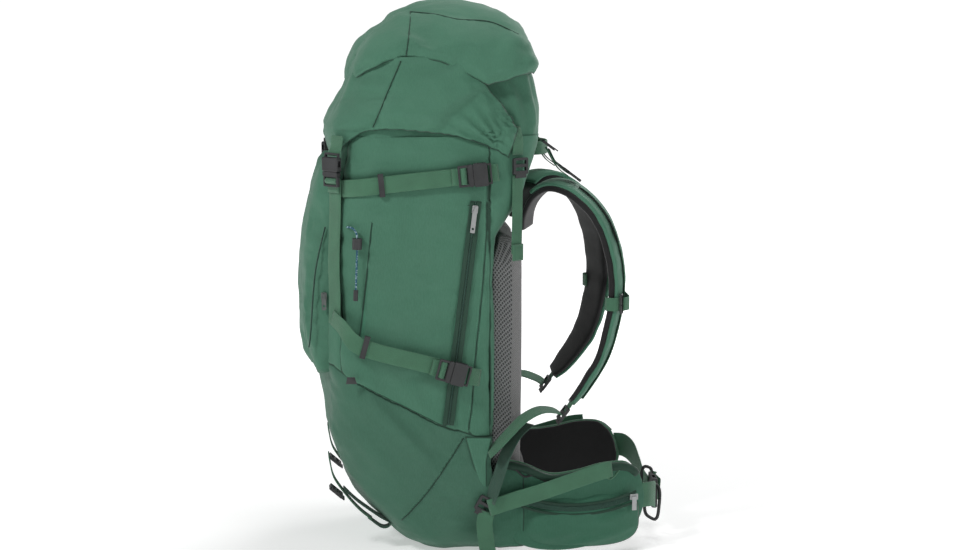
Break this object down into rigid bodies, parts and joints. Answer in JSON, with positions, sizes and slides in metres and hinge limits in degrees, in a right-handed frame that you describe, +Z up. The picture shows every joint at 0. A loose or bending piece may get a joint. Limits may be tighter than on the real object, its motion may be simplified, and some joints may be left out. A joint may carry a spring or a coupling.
{
  "type": "hiking backpack",
  "caption": "Large internal-frame hiking backpack with two-tier lid, side straps and buckles, zipped side pockets, padded shoulder harness and hip belt.",
  "frame": {"origin": "centre of the flat underside of the base, on the mid-plane", "axes": "+X to the wearer's right, +Y towards the wearer's back (harness side), +Z up"},
  "size_m": [0.3934, 0.5444, 0.817],
  "materials": {
    "shell_cloth": "matte ripstop nylon",
    "boot_cloth": "matte heavier nylon",
    "pocket_cloth": "satin stretch nylon",
    "webbing": "woven",
    "zip_tape": "coated",
    "zip_metal": "satin",
    "sheet_plastic": "satin",
    "stay_aluminium": "satin",
    "mesh_foam": "spacer mesh",
    "dark_padding": "brushed",
    "buckle_plastic": "satin",
    "cord_braid": "braided"
  },
  "bodies": {
    "bag": {"accessory_cord": "cord_braid", "back_pad": "mesh_foam", "back_wall": "shell_cloth", "base_boot": "boot_cloth", "belt_buckle_female": "buckle_plastic", "compression_females": "buckle_plastic", "compression_webbing": "webbing", "cord_end": "buckle_plastic", "extension_collar": "shell_cloth", "frame_sheet": "sheet_plastic", "frame_stays": "stay_aluminium", "front_panel": "shell_cloth", "front_pocket": "shell_cloth", "gear_loops": "webbing", "haul_loop": "webbing", "hip_pocket_left": "pocket_cloth", "hip_pocket_right": "pocket_cloth", "hip_webbing_left": "webbing", "hip_webbing_right": "webbing", "hip_wing_left": "dark_padding", "hip_wing_right": "dark_padding", "lid_rear_webbing": "webbing", "lid_strap_webbing": "webbing", "load_lifters": "webbing", "lower_straps": "webbing", "lumbar_pad": "dark_padding", "pack_ladder_locks": "buckle_plastic", "rear_strap_tails": "webbing", "side_fins": "shell_cloth", "side_panel_left": "shell_cloth", "side_panel_right": "shell_cloth", "side_pocket_left": "pocket_cloth", "side_pocket_right": "pocket_cloth", "side_zip_tapes": "zip_tape", "stabiliser_straps": "webbing", "strap_keepers": "buckle_plastic"},
    "lid": {"lid_pocket": "shell_cloth", "lid_skirt": "shell_cloth", "lid_buckle_females": "buckle_plastic", "lid_female_tabs": "webbing"},
    "harness": {"shoulder_strap_right": "dark_padding", "shoulder_strap_left": "dark_padding", "shoulder_webbing": "webbing", "shoulder_ladder_locks": "buckle_plastic", "sternum_webbing": "webbing", "sternum_buckle_female": "buckle_plastic"},
    "sternum_prong": {"sternum_buckle_male": "buckle_plastic"},
    "belt_prong": {"belt_buckle_male": "buckle_plastic"},
    "lid_prong_right": {"lid_male_right": "buckle_plastic"},
    "lid_prong_left": {"lid_male_left": "buckle_plastic"},
    "upper_prong_right": {"upper_male_right": "buckle_plastic"},
    "upper_prong_left": {"upper_male_left": "buckle_plastic"},
    "lower_prong_right": {"lower_male_right": "buckle_plastic"},
    "lower_prong_left": {"lower_male_left": "buckle_plastic"},
    "side_slider_right": {"side_zip_slider_right": "zip_metal"},
    "side_slider_left": {"side_zip_slider_left": "zip_metal"},
    "hip_slider_right": {"hip_zip_slider_right": "zip_metal"},
    "hip_slider_left": {"hip_zip_slider_left": "zip_metal"},
    "front_slider": {"front_zip_slider": "zip_metal"},
    "cord_stop": {"cord_lock": "buckle_plastic"}
  },
  "joints": [
    {"name": "lid_open", "type": "hinge", "parent": "bag", "child": "lid", "pos_m": [0, 0.121, 0.712], "axis": [-1, 0, 0], "range_deg": [0, 90], "deforming": ["lid_rear_webbing"]},
    {"name": "shoulder_swing", "type": "hinge", "parent": "bag", "child": "harness", "pos_m": [0, 0.108, 0.485], "axis": [1, 0, 0], "range_deg": [0, 12], "deforming": ["load_lifters", "lower_straps"]},
    {"name": "sternum_release", "type": "slide", "parent": "harness", "child": "sternum_prong", "axis": [-1, 0, 0], "range_m": [0, 0.022]},
    {"name": "belt_release", "type": "slide", "parent": "bag", "child": "belt_prong", "axis": [-1, 0, 0], "range_m": [0, 0.03]},
    {"name": "lid_release_right", "type": "slide", "parent": "bag", "child": "lid_prong_right", "axis": [0, 0, -1], "range_m": [0, 0.022]},
    {"name": "upper_release_right", "type": "slide", "parent": "bag", "child": "upper_prong_right", "axis": [0, -0.9954, -0.0958], "range_m": [0, 0.022]},
    {"name": "lower_release_right", "type": "slide", "parent": "bag", "child": "lower_prong_right", "axis": [0, -0.9636, 0.2672], "range_m": [0, 0.022]},
    {"name": "side_zip_right", "type": "slide", "parent": "bag", "child": "side_slider_right", "axis": [0, -0.1237, -0.9923], "range_m": [0, 0.27]},
    {"name": "hip_zip_right", "type": "hinge", "parent": "bag", "child": "hip_slider_right", "pos_m": [0.16348, 0.178, 0.304], "axis": [-0.9969, -0.0793, 0], "range_deg": [0, 33]},
    {"name": "lid_release_left", "type": "slide", "parent": "bag", "child": "lid_prong_left", "axis": [0, 0, -1], "range_m": [0, 0.022]},
    {"name": "upper_release_left", "type": "slide", "parent": "bag", "child": "upper_prong_left", "axis": [0, -0.9954, -0.0958], "range_m": [0, 0.022]},
    {"name": "lower_release_left", "type": "slide", "parent": "bag", "child": "lower_prong_left", "axis": [0, -0.9636, 0.2672], "range_m": [0, 0.022]},
    {"name": "side_zip_left", "type": "slide", "parent": "bag", "child": "side_slider_left", "axis": [0, -0.1237, -0.9923], "range_m": [0, 0.27]},
    {"name": "hip_zip_left", "type": "hinge", "parent": "bag", "child": "hip_slider_left", "pos_m": [-0.16348, 0.178, 0.304], "axis": [-0.9969, 0.0793, 0], "range_deg": [0, 33]},
    {"name": "front_zip", "type": "slide", "parent": "bag", "child": "front_slider", "axis": [0, 0, 1], "range_m": [0, 0.07]},
    {"name": "cord_stop_slide", "type": "slide", "parent": "bag", "child": "cord_stop", "axis": [0, -0.0357, -0.9994], "range_m": [0, 0.05]}
  ]
}
